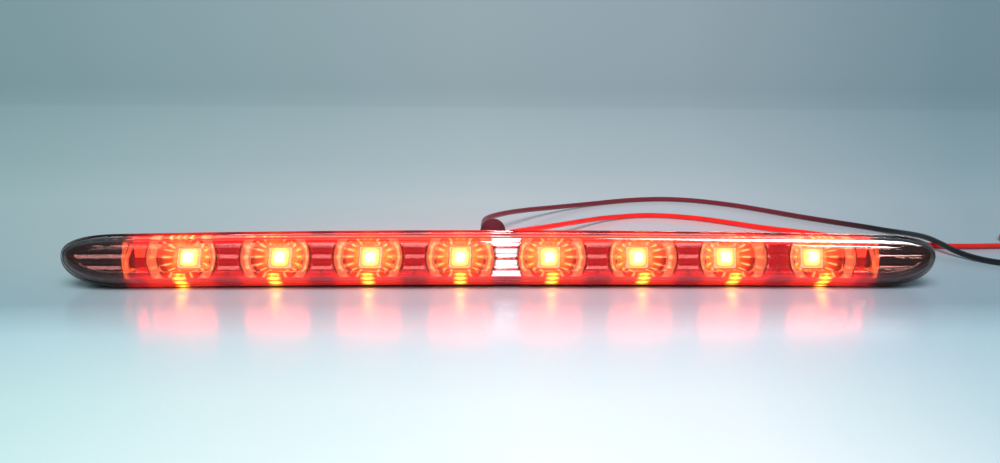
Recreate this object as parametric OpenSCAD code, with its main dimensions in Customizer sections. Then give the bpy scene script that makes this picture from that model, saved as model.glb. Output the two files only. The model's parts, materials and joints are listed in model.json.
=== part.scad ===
// Third brake light: eight square LEDs in a mirrored reflector, under a smoked clear lens on a black
// housing. The lamp leans back on its two lower edges, with its two leads lying on the surface behind it.
// The lamp's own axes: X along the bar, Y from the lens (negative) to the mounting face, Z up, LEDs at Z = 0.
// The part's frame: Z = 0 is the surface, and X = 0 and Y = 0 are the middle of the lamp without its leads.

/* [Lens outline] */
// Length of the lens over its two noses
lens_len = 300; // [280:1:340]
// Length of each rounded nose
nose_len = 22; // [16:1:30]
// Height of the flange above the nose line, beside the noses
top_h = 7.4; // [7:0.1:9]
// Depth of the flange below the nose line, beside the noses
foot_h = 10.6; // [10.2:0.1:11.4]
// Height of the noses above the LED row
nose_z = 0.4; // [0:0.1:0.8]
// Rise of the flange's top edge at the middle
top_arch = 1.4; // [0.6:0.1:2]
// Rise of the flange's bottom edge at the middle
foot_arch = 0.8; // [0.4:0.1:1.2]

/* [Lens section] */
// Distance from the flange's front face to the lens's front face
lens_bulge = 6.5; // [6:0.1:9]
// Thickness of the flange, from its front face to its rear face
flange_t = 2; // [1.6:0.1:2.4]

/* [LEDs] */
// Distance between LED centres
led_pitch = 31.2; // [30:0.1:32]
// Side of the square LED package
led_side = 7.6; // [7:0.1:8]

/* [Reflector] */
// Radius of a cup's opening
cup_r = 11.75; // [11:0.05:12.5]
// Radius of the step between the cup's ring and its petals
step_r = 8.9; // [8.4:0.1:9.4]
// Side of the square window around an LED
window_side = 8.5; // [8.3:0.1:8.8]
// Height of one horizontal flute
flute_pitch = 3.8; // [3.4:0.1:4.2]

/* [Housing] */
// Thickness of the housing's walls
wall = 1.4; // [1.2:0.1:1.6]
// Distance from the flange's front face to the outside of the housing's back
back_y = 17; // [16.8:0.1:18]
// Depth of the housing's straight lower wall below the nose line
tub_foot_h = 7.3; // [7.2:0.1:7.6]
// Distance of each stud from the middle
stud_x = 78; // [70:1:90]
// Length of stud that stands out of its boss
stud_len = 14; // [10:1:20]

/* [Boot and leads] */
// Distance of the rubber boot from the middle
boot_x = -3.5; // [-5:0.5:5]
// Angle of the rubber boot's barrel above the lamp's own axis
boot_angle = 75; // [65:1:80]
// Length of the boot's barrel, up to the centre of its dome
boot_rise = 9.6; // [9:0.1:11]
// Outside diameter of a lead
lead_d = 2.2; // [1.8:0.1:2.4]
// Distance between the two leads in the boot
lead_gap = 3.2; // [2.8:0.1:3.6]

/* [Hidden] */
$fn = 40;

// How far a cutter passes what it cuts
cut = 1;
// How deep one solid reaches into its neighbour of the same part
joint = 0.5;

// Stations along the lamp's depth
led_count = 8;
cup_front_y = -2.2;
cup_floor_y = 9.8;
reflector_back_y = cup_floor_y + 0.8;
step_y = 2.9;
board_y = 12.5;
board_t = 1.6;
board_back_y = board_y + board_t;
tub_inner_y = back_y - wall;
gasket_t = 3;
boss_t = 2.5;
boss_y = back_y + boss_t;

// Outline constants
nose_start = lens_len/2 - nose_len;
arch_half = nose_start + 2;
top_power = 2.5;
foot_power = 2.2;
nose_steps = 10;
arch_steps = 20;

// The lamp leans until the housing's lower rear edge meets the surface
foot_z = nose_z - foot_h;
tub_foot_z = nose_z - tub_foot_h;
lean = atan((tub_foot_z - foot_z)/(back_y - flange_t));

// Reflector
rim_inset = 3.2;
rim_wall = 0.6;
rim_t = 1.5;
body_inset = 3.3;
body_wall = 0.7;
reflector_foot_h = 5.5;
flute_depth = 0.6;
flute_land = 0.3;
flute_half = (flute_pitch - flute_land)/2;
flute_r = (pow(flute_half, 2) + pow(flute_depth, 2))/(2*flute_depth);
first_flute_z = -6.1;
flute_count = 4;
end_recess_r = 20;
end_recess_floor_r = 16;
end_recess_y = 0.8;
panel_back_y = 0.6;
boss_x = led_pitch*[-3, -1, 1, 3];

// Small parts
led_body_h = 3;
led_dome_r = 2.5;
led_leg_r = 0.25;
led_leg_gap = 5.08;
led_leg_len = 2.6;
screw_r = 1;
screw_head_r = 2;
screw_head_t = 1.2;
screw_len = 7;
boss_r = 2.3;
post_x = [-led_pitch*2, led_pitch*2];
post_r = 1.8;
stud_r = 2.5;
stud_head_r = 3.3;
stud_head_t = 2.2;
stud_head_y = tub_inner_y + 0.6;
stud_collar_r = 2.9;
stud_lead_in = 0.6;
stud_boss_r = 4.2;
vent_x = 45;
vent_r = 2.2;
vent_cap_r = 3.6;
vent_cap_t = 1.8;

// Boot
boot_ball_y = 22.5;
boot_r = 4.6;
boot_neck_r = 3.9;
boot_hole_r = 3.2;
boot_lip_r = 4.2;
boot_lip_t = 0.7;
outlet_z = 7;
outlet_y = 33;
outlet_root_r = 4;
outlet_tip_r = 3;
lead_r = lead_d/2;
black_x = boot_x - lead_gap/2;
red_x = boot_x + lead_gap/2;

// Point on the boot's barrel, as [y, z], at a distance from its elbow
function boot_point(d) = [boot_ball_y + d*cos(boot_angle), d*sin(boot_angle)];
outlet_d = outlet_z/sin(boot_angle);
outlet_root_y = boot_point(outlet_d)[0];

// From the lamp's own axes to the part's frame, whose origin is under the middle of the lamp's box
front_inset = 5.2;
function lean_point(p) =
    let (y = p[1] - flange_t, z = p[2] - foot_z)
    [p[0], y*cos(lean) + z*sin(lean), z*cos(lean) - y*sin(lean)];
foremost_y = lean_point([0, -lens_bulge, foot_z + front_inset])[1];
rearmost_y = lean_point([0, outlet_y, outlet_z + outlet_tip_r])[1];
middle_y = (foremost_y + rearmost_y)/2;
function stand_point(p) = lean_point(p) - [0, middle_y, 0];

exit_dir = [0, cos(lean), -sin(lean)];
function lead_exit(x) = stand_point([x, outlet_y, outlet_z]);

// Routes of the leads over the surface, from just behind the boot to their crimps
straight = 2;
black_route = [
    [-5.3, 29.5, 9.2], [-5.6, 38.5, 8.8], [-5.8, 48.5, 8.5], [-5.4, 58, 8.2], [-4.6, 66.5, 7.9],
    [-2.4, 74, 7.6], [1, 81.5, 7.1], [6, 91, 6.3], [12, 101, 5.3], [19, 111, 4.2], [26.5, 120.5, 3.1],
    [34.5, 129.5, 2.2], [43, 137.5, 1.5], [52, 144.5, 1.1], [61, 149.5, 1.1], [70, 153.5, 1.1],
    [79.5, 156, 1.1], [88.5, 156.5, 1.1], [97, 154.5, 1.1], [105, 150.5, 1.1],
    [119.5, 138.5, 1.1], [125.5, 131.5, 1.1], [131.5, 124, 1.1], [137.5, 116, 1.1], [143.5, 108.5, 1.1],
    [156.5, 94, 1.1], [163, 87, 1.1], [168.5, 79.5, 1.2], [172, 71, 1.9],
    [174, 61.5, 2.9], [175.5, 51.5, 3.6], [177, 42, 3.2], [179.5, 32.5, 2], [184, 24, 1.2],
    [190.5, 17, 1.1], [199, 12, 1.4], [209, 10, 2.2], [213, 9.6, 2.2]
];
red_route = [
    [-0.9, 29, 9], [1.8, 36, 8.4], [5.6, 43, 7.6], [10, 50, 6.8], [14.5, 57, 6], [20, 64.5, 5.2],
    [27, 74, 4.3], [34.5, 84, 3.4], [42, 93.5, 2.6], [50, 102.5, 1.8], [58.5, 109, 1.2], [67.5, 112.5, 1.1],
    [77, 112.5, 1.1], [86, 109.5, 1.1], [94, 105, 1.1], [101.5, 99, 1.1], [109, 92, 1.1], [116.5, 85, 1.1],
    [124.5, 79, 1.1], [132.5, 73.5, 1.1], [140.5, 67.5, 1.1], [149, 62, 1.1], [158, 57, 1.1],
    [167, 52, 1.1], [176.5, 48, 1.1], [186.5, 46.5, 1.1], [206, 47.5, 1.1],
    [225.5, 47, 1.1], [234.5, 51, 1.1], [238, 60, 1.1], [234.5, 69, 1.1],
    [225.5, 72.5, 1.1], [216.5, 69, 1.1], [212.5, 60, 1.9], [214, 50.5, 3.5], [219.5, 43, 3.1],
    [227.5, 38.5, 2.2], [231.5, 36.5, 2.2]
];

function lead_path(exit, route) = concat([exit, exit + straight*exit_dir], route);
black_path = lead_path(lead_exit(black_x), black_route);
red_path = lead_path(lead_exit(red_x), red_route);

// Crimped bullet terminals
sleeve_r = 2.2;
sleeve_len = 9;
bullet_r = 1.95;
bullet_len = 11;
bullet_neck_r = 1.5;
bullet_neck_len = 2;

// Outline of the lamp, moved inwards by an inset, with its own foot depth and arch
function nose_u(t, power) = pow(sin(t), 2/power);
function nose_v(t, power) = pow(cos(t), 2/power);
function arch(x) = max(0, 1 - pow(x/arch_half, 2));
function outline(inset = 0, foot = foot_h, arch_rise = foot_arch) =
    let (
        nose = nose_len - inset,
        top = top_h - inset,
        low = foot - inset,
        turn = [for (i = [0:nose_steps]) 90*i/nose_steps],
        across = [for (i = [1:arch_steps - 1]) nose_start*(1 - 2*i/arch_steps)],
        right_top = [for (t = turn)
            let (x = nose_start + nose*nose_u(t, top_power))
            [x, nose_z + top*nose_v(t, top_power) + top_arch*arch(x)]],
        right_low = [for (i = [1:nose_steps])
            let (t = 90 - turn[i], x = nose_start + nose*nose_u(t, foot_power))
            [x, nose_z - low*nose_v(t, foot_power) + arch_rise*arch(x)]],
        low_edge = [for (x = across) [x, nose_z - low + arch_rise*arch(x)]],
        right = concat(right_top, right_low),
        left = [for (i = [len(right) - 1:-1:0]) [-right[i][0], right[i][1]]],
        top_edge = [for (x = across) [-x, nose_z + top + top_arch*arch(x)]]
    )
    concat(right, low_edge, left, top_edge);

// The housing's outline: the lens outline above, and a straight edge below
tub_inset = 1.6;
function tub_outline(inset = 0) = outline(tub_inset + inset, tub_foot_h + tub_inset, 0);
function body_outline(inset = 0) = outline(body_inset + inset, reflector_foot_h + body_inset, 0);

// Things stood on the surface, and slabs and rods along the lamp's depth
module stand() {
    translate([0, -middle_y, 0]) rotate([-lean, 0, 0]) translate([0, -flange_t, -foot_z]) children();
}

module slab(points, y0, y1) {
    translate([0, y1, 0]) rotate([90, 0, 0]) linear_extrude(y1 - y0) polygon(points);
}

module ring(outer, inner, y0, y1) {
    difference() {
        slab(outer, y0, y1);
        slab(inner, y0 - cut, y1 + cut);
    }
}

module rod(x, z, y0, y1, r0, r1) {
    translate([x, y0, z]) rotate([-90, 0, 0]) cylinder(h = y1 - y0, r1 = r0, r2 = r1);
}

// A closed bowl through rings of equal length, with a flat cap at each end
module capped_shell(rings) {
    n = len(rings[0]);
    m = len(rings);
    sides = [for (j = [0:m - 2], i = [0:n - 1])
        let (a = j*n, b = (j + 1)*n, k = (i + 1) % n)
        [a + i, a + k, b + k, b + i]];
    first = [for (i = [n - 1:-1:0]) i];
    last = [for (i = [0:n - 1]) (m - 1)*n + i];
    polyhedron(points = [for (r = rings, p = r) p], faces = concat(sides, [first, last]), convexity = 6);
}

function ring_at(inset, y) = [for (p = outline(inset)) [p[0], y, p[1]]];

// Lens: [inset, y] pairs from the flange's rear face to the front, for the outside and for the hollow
lens_wall = 1.6;
lens_mouth = 2.3;
lens_outside = [
    [0, flange_t], [0, 0.3], [0.3, 0], [0.8, 0], [0.9, -1], [1.3, -2.6], [2, -0.65*lens_bulge],
    [2.8, -0.82*lens_bulge], [3.8, -0.94*lens_bulge], [front_inset, -lens_bulge]
];
lens_hollow = [
    [lens_mouth, flange_t + cut], [lens_mouth, flange_t], [2.5, 0], [2.9, -2.6],
    [3.6, lens_wall + 1 - lens_bulge], [4.6, lens_wall + 0.3 - lens_bulge], [5.8, lens_wall - lens_bulge]
];

module lens_body(section) {
    capped_shell([for (s = section) ring_at(s[0], s[1])]);
}

module lens() {
    color([0.45, 0.05, 0.06, 0.6]) stand() difference() {
        lens_body(lens_outside);
        lens_body(lens_hollow);
    }
}

// Sealant bead: in the groove of the housing's flange, under the lens's rear face
bead_inset = 1;
bead_w = 0.8;
bead_t = 0.8;

module sealant_bead() {
    color("dimgray") stand()
        ring(outline(bead_inset), outline(bead_inset + bead_w), flange_t, flange_t + bead_t);
}

// Reflector: mirrored moulding with a cup and a square window for each LED
led_x = [for (i = [0:led_count - 1]) (i - (led_count - 1)/2)*led_pitch];

cup_floor_r = 5.6;
step_w = 0.4;
touch = 0.01;

module cup_cutter() {
    for (x = led_x) {
        rod(x, 0, cup_front_y - touch, step_y, cup_r, step_r + step_w);
        rod(x, 0, step_y - touch, cup_floor_y, step_r, cup_floor_r);
    }
    for (side = [-1, 1])
        rod(side*led_x[led_count - 1], 0, cup_front_y - touch, end_recess_y,
            end_recess_r, end_recess_floor_r);
}

module flute_cutter() {
    for (i = [0:flute_count - 1])
        translate([-lens_len/2, cup_front_y - flute_r + flute_depth, first_flute_z + i*flute_pitch])
            rotate([0, 90, 0]) cylinder(h = lens_len, r = flute_r);
}

pocket_front = 3.2;
pocket_back = 8.8;

module back_pockets() {
    y0 = panel_back_y;
    y1 = reflector_back_y + cut;
    shape = [[-pocket_front, y0], [pocket_front, y0], [pocket_back, y1], [-pocket_back, y1]];
    for (i = [0:led_count - 2])
        translate([led_x[i] + led_pitch/2, 0, body_wall - reflector_foot_h + nose_z])
            linear_extrude(reflector_foot_h + top_h - body_inset - 2*body_wall) polygon(shape);
}

module reflector() {
    color("silver") stand() {
        difference() {
            union() {
                slab(outline(rim_inset), cup_front_y, cup_front_y + rim_t);
                slab(body_outline(), cup_front_y + rim_t - joint, reflector_back_y);
            }
            intersection() {
                cup_cutter();
                union() {
                    slab(outline(rim_inset + rim_wall), cup_front_y - cut, cup_front_y + rim_t - joint);
                    slab(body_outline(body_wall), cup_front_y + rim_t - 2*joint, reflector_back_y);
                }
            }
            for (x = led_x)
                translate([x - window_side/2, cup_floor_y - cut, -window_side/2])
                    cube([window_side, reflector_back_y - cup_floor_y + 2*cut, window_side]);
            flute_cutter();
            back_pockets();
        }
        for (x = boss_x) difference() {
            rod(x, 0, panel_back_y - joint, board_y, boss_r, boss_r);
            rod(x, 0, board_back_y - screw_len, board_y + cut, screw_r, screw_r);
        }
    }
}

// Circuit board, drilled for the LED legs, its screws and the two leads
board_len = 244;
board_top = 4.9;
board_low = 5;
leg_hole_r = 0.4;
screw_hole_r = 1.2;
lead_hole_r = 0.6;

module leg_places() {
    for (dx = [-1, 1], dz = [-1, 1])
        translate([dx*led_leg_gap/2, 0, dz*led_leg_gap/2]) children();
}

module board_hole(x, r) {
    rod(x, 0, board_y - cut, board_back_y + cut, r, r);
}

module circuit_board() {
    color("darkgreen") stand() difference() {
        translate([-board_len/2, board_y, -board_low]) cube([board_len, board_t, board_top + board_low]);
        for (x = led_x) translate([x, 0, 0]) leg_places() board_hole(0, leg_hole_r);
        for (x = boss_x) board_hole(x, screw_hole_r);
        for (x = [black_x, red_x]) board_hole(x, lead_hole_r);
    }
}

module led(x) {
    color("lightyellow") stand() translate([x, 0, 0]) {
        translate([-led_side/2, board_y - led_body_h, -led_side/2]) cube([led_side, led_body_h, led_side]);
        difference() {
            translate([0, board_y - led_body_h, 0]) sphere(r = led_dome_r);
            translate([-led_side/2, board_y - led_body_h + joint, -led_side/2]) cube(led_side);
        }
        leg_places() rod(0, 0, board_y - joint, board_y + led_leg_len, led_leg_r, led_leg_r);
    }
}

// Chip resistors and a diode on the board's back
resistor_size = [3.2, 0.6, 1.6];
resistor_x = [-100, -70, 20, 70];
diode_size = [4.3, 1.3, 2.7];
diode_x = 10;

module chip(x, size) {
    translate([x - size[0]/2, board_back_y, -size[2]/2]) cube(size);
}

module resistor(i) {
    color("#202020") stand() chip(resistor_x[i], resistor_size);
}

module protection_diode() {
    color("#303030") stand() chip(diode_x, diode_size);
}

module board_screws() {
    color("gainsboro") stand() for (x = boss_x) {
        rod(x, 0, board_back_y, board_back_y + screw_head_t, screw_head_r, screw_head_r);
        rod(x, 0, board_back_y - screw_len, board_back_y + joint, screw_r, screw_r);
    }
}

// Housing: black moulding with the glued flange, the stud bosses and the holes for boot and vent
rail_inset = 0.5;
rail_t = 2;

module housing() {
    color("#181818") stand() {
        difference() {
            union() {
                slab(outline(rail_inset), flange_t, flange_t + rail_t);
                slab(tub_outline(), flange_t + joint, back_y);
                for (x = [-stud_x, stud_x]) rod(x, 0, back_y - joint, boss_y, stud_boss_r, stud_boss_r);
            }
            ring(outline(bead_inset), outline(bead_inset + bead_w), flange_t - cut, flange_t + bead_t);
            slab(tub_outline(wall), flange_t - cut, tub_inner_y);
            rod(boot_x, 0, tub_inner_y - cut, back_y + cut, boot_hole_r, boot_hole_r);
            rod(vent_x, 0, tub_inner_y - cut, back_y + cut, vent_r, vent_r);
            for (x = [-stud_x, stud_x]) stud_shape(x);
        }
        for (x = post_x) rod(x, 0, board_back_y, tub_inner_y + joint, post_r, post_r);
    }
}

module stud_shape(x) {
    rod(x, 0, stud_head_y, stud_head_y + stud_head_t, stud_head_r, stud_head_r);
    rod(x, 0, stud_head_y + joint, boss_y, stud_collar_r, stud_collar_r);
    rod(x, 0, boss_y - joint, boss_y + stud_len - stud_lead_in, stud_r, stud_r);
    rod(x, 0, boss_y + stud_len - stud_lead_in, boss_y + stud_len, stud_r, stud_r - stud_lead_in);
}

module stud(x) {
    color("silver") stand() stud_shape(x);
}

// Foam gasket on the housing's back, cut away where the boot comes over its edge
gasket_inset = 0.6;
gasket_w = 1.6;
gasket_gap = 11;

module mounting_gasket() {
    color("#101010") stand() difference() {
        ring(tub_outline(gasket_inset), tub_outline(gasket_inset + gasket_w), back_y, back_y + gasket_t);
        translate([boot_x - gasket_gap/2, back_y - cut, 0]) cube([gasket_gap, gasket_t + 2*cut, 2*top_h]);
    }
}

module vent_plug() {
    color("#282828") stand() {
        rod(vent_x, 0, tub_inner_y, back_y + joint, vent_r, vent_r);
        rod(vent_x, 0, back_y, back_y + vent_cap_t, vent_cap_r, vent_cap_r);
    }
}

// Wire boot: rubber elbow with a lip on each side of the housing's back, and a bore for each lead
module along_boot() {
    translate([0, boot_ball_y, 0]) rotate([boot_angle - 90, 0, 0]) children();
}

module lead_run(x, over = 0) {
    translate([x, 0, 0]) {
        rod(0, 0, board_back_y, boot_ball_y, lead_r, lead_r);
        translate([0, boot_ball_y, 0]) sphere(r = lead_r);
        along_boot() {
            cylinder(h = outlet_d, r = lead_r);
            translate([0, 0, outlet_d]) sphere(r = lead_r);
        }
        rod(0, outlet_z, outlet_root_y, outlet_y + over, lead_r, lead_r);
    }
}

module wire_boot() {
    color("#141414") stand() difference() {
        translate([boot_x, 0, 0]) {
            rod(0, 0, tub_inner_y - boot_lip_t, tub_inner_y, boot_lip_r, boot_lip_r);
            rod(0, 0, tub_inner_y - joint, back_y + joint, boot_hole_r, boot_hole_r);
            rod(0, 0, back_y, boot_ball_y, boot_neck_r, boot_neck_r);
            translate([0, boot_ball_y, 0]) sphere(r = boot_r);
            along_boot() {
                cylinder(h = boot_rise, r = boot_r);
                translate([0, 0, boot_rise]) sphere(r = boot_r);
            }
            rod(0, outlet_z, outlet_root_y, outlet_y, outlet_root_r, outlet_tip_r);
        }
        for (x = [black_x, red_x]) lead_run(x, cut);
    }
}

module inner_lead(x) {
    stand() lead_run(x);
}

// A tube of round section with a ring at each point of a path
tube_sides = 8;

function unit(v) = v/norm(v);
function heading(path, i) =
    let (last = len(path) - 1)
    i < 2 ? unit(path[1] - path[0])
    : i == last ? unit(path[last] - path[last - 1])
    : unit(unit(path[i] - path[i - 1]) + unit(path[i + 1] - path[i]));

function tube_ring(centre, dir, r) =
    let (side = unit(cross(dir, [0, 0, 1])), up = cross(side, dir))
    [for (k = [0:tube_sides - 1])
        let (a = 360*(k + 0.5)/tube_sides)
        centre + r*cos(a)*side + r*sin(a)*up];

module tube(path, r) {
    capped_shell([for (i = [0:len(path) - 1]) tube_ring(path[i], heading(path, i), r)]);
}

module lead_black() {
    color("#151515") tube(black_path, lead_r);
}

module lead_red() {
    color("firebrick") tube(red_path, lead_r);
}

// A crimped terminal lies in line with the end of its lead
module at_end(path) {
    last = len(path) - 1;
    dir = path[last] - path[last - 1];
    translate(path[last]) rotate([0, 0, atan2(dir[1], dir[0])]) rotate([0, 90, 0]) children();
}

module crimp(path) {
    color("#c9a24b") at_end(path) translate([0, 0, sleeve_len]) {
        cylinder(h = bullet_len/2, r = bullet_neck_r);
        translate([0, 0, bullet_neck_len])
            cylinder(h = bullet_len - bullet_neck_len - bullet_r, r = bullet_r);
        translate([0, 0, bullet_len - bullet_r]) sphere(r = bullet_r);
    }
}

module sleeve(path, tint) {
    color(tint) at_end(path) cylinder(h = sleeve_len, r = sleeve_r);
}

lens();
sealant_bead();
reflector();
circuit_board();
for (i = [0:led_count - 1])
    led(led_x[i]);
for (i = [0:len(resistor_x) - 1])
    resistor(i);
protection_diode();
board_screws();
housing();
stud(-stud_x);  // stud_left
stud(stud_x);  // stud_right
mounting_gasket();
vent_plug();
wire_boot();
color("#151515") inner_lead(black_x);  // inner_lead_black
color("firebrick") inner_lead(red_x);  // inner_lead_red
lead_black();
lead_red();
crimp(black_path);  // crimp_black
crimp(red_path);  // crimp_red
sleeve(black_path, "#202020");  // sleeve_black
sleeve(red_path, "firebrick");  // sleeve_red
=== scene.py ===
# %% [markdown]
# # A lit third brake light
# The lamp is a slim bar: a smoked acrylic lens in front, a mirrored reflector with eight square LEDs
# behind it, and a black housing at the back. A rubber boot lets two thin leads out, which lie on the
# table behind the lamp. The CAD model fixes every place and size. This script gives the lamp its finishes
# and its fine shapes.

# %% Load the frame
import json
import math

import bmesh
import bpy
from mathutils import Matrix, Vector


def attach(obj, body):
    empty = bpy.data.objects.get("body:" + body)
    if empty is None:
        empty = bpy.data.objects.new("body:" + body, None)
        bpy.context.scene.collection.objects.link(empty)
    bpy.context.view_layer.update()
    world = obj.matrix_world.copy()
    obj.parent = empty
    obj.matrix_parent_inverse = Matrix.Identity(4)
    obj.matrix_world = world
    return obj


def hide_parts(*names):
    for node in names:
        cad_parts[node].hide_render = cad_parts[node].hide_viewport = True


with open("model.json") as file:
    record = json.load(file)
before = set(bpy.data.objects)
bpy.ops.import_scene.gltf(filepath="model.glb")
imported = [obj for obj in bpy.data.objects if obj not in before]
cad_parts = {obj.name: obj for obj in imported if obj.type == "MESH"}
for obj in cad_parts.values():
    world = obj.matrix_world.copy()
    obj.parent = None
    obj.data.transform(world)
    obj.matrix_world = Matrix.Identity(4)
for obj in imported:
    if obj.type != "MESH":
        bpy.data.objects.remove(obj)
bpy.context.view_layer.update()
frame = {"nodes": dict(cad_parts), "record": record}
cad_nodes = frame["nodes"]
print("CAD nodes:", len(cad_nodes))

# %% [markdown]
# ## The lamp's own axes
# The lamp leans back, so its shapes are easier to think about in its own axes: X along the bar, Y from
# the lens to the back, Z up, with the LEDs at Z = 0. A stud's mount in the record gives the lean and the
# place, so one matrix carries a shape from those axes, in millimetres, to the frame, in metres.

# %% Find the lean and the matrix
MM = 0.001
STUD_MIDDLE_Y = 26.2
stud = next(m for m in frame["record"]["mounts"] if m["name"] == "stud_right")
stud_axis = Vector(stud["axis"]).normalized()
lean = math.atan2(-stud_axis.z, stud_axis.y)
lamp_origin = Vector((0, stud["pos_m"][1], stud["pos_m"][2])) - stud_axis * STUD_MIDDLE_Y * MM
turn = Matrix.Rotation(-lean, 4, "X")
LAMP = Matrix.Translation(lamp_origin) @ turn @ Matrix.Scale(MM, 4)
print("lean", round(math.degrees(lean), 2), "degrees, LED row at", [round(v, 4) for v in lamp_origin])

# %% [markdown]
# ## The camera
# A camera comes first, because the cords are tested against what it sees. It stands a forearm's length in
# front of the lamp, a little to the left of its middle, and looks slightly down on it.

# %% Make the camera
LENS_MM = 39.6
CAMERA_PLACE = (-0.0191, -0.3801, 0.0943)
CAMERA_HEADING = -2.65
CAMERA_DOWN = 11.55
CAMERA_ROLL = 0.59
camera_data = bpy.data.cameras.new("camera")
camera_data.lens = LENS_MM
camera_data.clip_start = 0.01
camera = bpy.data.objects.new("camera", camera_data)
bpy.context.scene.collection.objects.link(camera)
heading = Matrix.Rotation(math.radians(CAMERA_HEADING), 4, "Z")
tilt = Matrix.Rotation(math.radians(90 - CAMERA_DOWN), 4, "X")
roll = Matrix.Rotation(math.radians(CAMERA_ROLL), 4, "Z")
camera.matrix_world = Matrix.Translation(CAMERA_PLACE) @ heading @ tilt @ roll
bpy.context.scene.camera = camera
print("camera at", [round(v, 3) for v in camera.matrix_world.translation])

# %% [markdown]
# ## A few helpers
# Every material colour is written as the sRGB hex value that a colour picker shows. Blender works in linear
# light, so one function turns the one into the other.

# %% Colours and nodes
def linear(hex_code):
    channels = [int(hex_code[i:i + 2], 16) / 255 for i in (0, 2, 4)]
    return (*[c / 12.92 if c <= 0.04045 else ((c + 0.055) / 1.055) ** 2.4 for c in channels], 1.0)


def add_node(tree, kind, inputs=None, **settings):
    node = tree.nodes.new(kind)
    for key, value in settings.items():
        setattr(node, key, value)
    for socket, value in (inputs or {}).items():
        if isinstance(value, bpy.types.NodeSocket):
            tree.links.new(value, node.inputs[socket])
        else:
            node.inputs[socket].default_value = value
    return node


def new_material(name):
    material = bpy.data.materials.new(name)
    material.use_nodes = True
    tree = material.node_tree
    return material, tree, tree.nodes["Principled BSDF"]


def set_ramp(ramp, stops):
    elements = ramp.color_ramp.elements
    while len(elements) < len(stops):
        elements.new(0.5)
    for element, (position, colour) in zip(elements, stops):
        element.position = position
        element.color = colour


print("black in linear light:", linear("151515"))

# %% [markdown]
# Most of the lamp's plain parts are moulded or plated, and differ in colour, gloss and grain. One
# function makes such a finish: a noise at the grain's real size moves the roughness between two values
# and raises a fine bump, and a second, larger noise shades the colour a little, as handling and uneven
# moulding do.

# %% A finish with grain
def grained(name, colour, shade, rough, grain_mm, bump_mm, metallic=0.0, patch_mm=9.0):
    material, tree, shader = new_material(name)
    coords = add_node(tree, "ShaderNodeTexCoord")
    grain = add_node(tree, "ShaderNodeTexNoise", {"Vector": coords.outputs["Object"],
                     "Scale": 1 / (grain_mm * MM), "Detail": 3.0})
    patches = add_node(tree, "ShaderNodeTexNoise", {"Vector": coords.outputs["Object"],
                       "Scale": 1 / (patch_mm * MM), "Detail": 2.0})
    tint = add_node(tree, "ShaderNodeValToRGB", {"Fac": patches.outputs["Fac"]})
    set_ramp(tint, [(0.3, linear(colour)), (0.75, linear(shade))])
    gloss = add_node(tree, "ShaderNodeMapRange", {"Value": grain.outputs["Fac"], "From Min": 0.3,
                     "From Max": 0.7, "To Min": rough[0], "To Max": rough[1]})
    relief = add_node(tree, "ShaderNodeBump", {"Height": grain.outputs["Fac"], "Distance": bump_mm * MM})
    tree.links.new(tint.outputs["Color"], shader.inputs["Base Color"])
    tree.links.new(gloss.outputs["Result"], shader.inputs["Roughness"])
    tree.links.new(relief.outputs["Normal"], shader.inputs["Normal"])
    shader.inputs["Metallic"].default_value = metallic
    return material


# %% [markdown]
# Shapes are built with bmesh in the lamp's own axes. This function turns a bmesh into a finished piece: it
# moves it into the frame, points its faces outwards, marks edges sharper than an angle as hard, tells the
# frame which body it rides on, and hides the CAD nodes that it replaces.

# %% Finish a piece
def finish_piece(bm, name, material, replaces=(), slot=None, matrix=None, sharp=35.0):
    matrix = LAMP if matrix is None else matrix
    bmesh.ops.transform(bm, matrix=matrix, verts=bm.verts)
    bmesh.ops.remove_doubles(bm, verts=bm.verts, dist=2e-6)
    bmesh.ops.recalc_face_normals(bm, faces=bm.faces)
    mesh = bpy.data.meshes.new(name)
    bm.to_mesh(mesh)
    bm.free()
    for polygon in mesh.polygons:
        polygon.use_smooth = True
    mesh.set_sharp_from_angle(angle=math.radians(sharp))
    mesh.materials.append(material)
    piece = bpy.data.objects.new(name, mesh)
    bpy.context.scene.collection.objects.link(piece)
    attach(piece, "root")
    if replaces:
        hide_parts(*replaces)
    print(name, len(mesh.polygons), "faces")
    return piece


# %% [markdown]
# Two ways of making a shape come back again and again. A lathe turns a profile round the Y axis, as for a
# boot or a stud. A loft starts from one closed ring and extrudes its edges from ring to ring, as for the
# lens, whose section changes all the way round the bar.

# %% Lathe and loft
def lathe(bm, profile, matrix=None, steps=48):
    verts = [bm.verts.new((radius, y, 0)) for radius, y in profile]
    edges = [bm.edges.new(pair) for pair in zip(verts, verts[1:])]
    bmesh.ops.spin(bm, geom=verts + edges, cent=(0, 0, 0), axis=(0, 1, 0), angle=2 * math.pi,
                   steps=steps, use_merge=True)
    # A vertex that an earlier shape has tagged isn't part of this one.
    made = set(verts)
    for vert in bm.verts:
        if vert.link_edges and not vert.tag:
            made.add(vert)
    if matrix is not None:
        bmesh.ops.transform(bm, matrix=matrix, verts=list(made))
    for vert in made:
        vert.tag = True
    return made


def extrude_ring(bm, loop, edges, points):
    made = bmesh.ops.extrude_edge_only(bm, edges=edges)["geom"]
    fresh = {item for item in made if isinstance(item, bmesh.types.BMVert)}
    partners = [next(e.other_vert(v) for e in v.link_edges if e.other_vert(v) in fresh) for v in loop]
    for vert, point in zip(partners, points):
        vert.co = point
    ring = set(partners)
    edges = [e for e in made if isinstance(e, bmesh.types.BMEdge) and set(e.verts) <= ring]
    return partners, edges


def loft(bm, rings, caps=()):
    loop = [bm.verts.new(point) for point in rings[0]]
    edges = [bm.edges.new(pair) for pair in zip(loop, loop[1:] + loop[:1])]
    first, last = loop, loop
    for points in rings[1:]:
        last, edges = extrude_ring(bm, last, edges, points)
    if "first" in caps:
        bmesh.ops.contextual_create(bm, geom=first)
    if "last" in caps:
        bmesh.ops.contextual_create(bm, geom=last)


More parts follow.
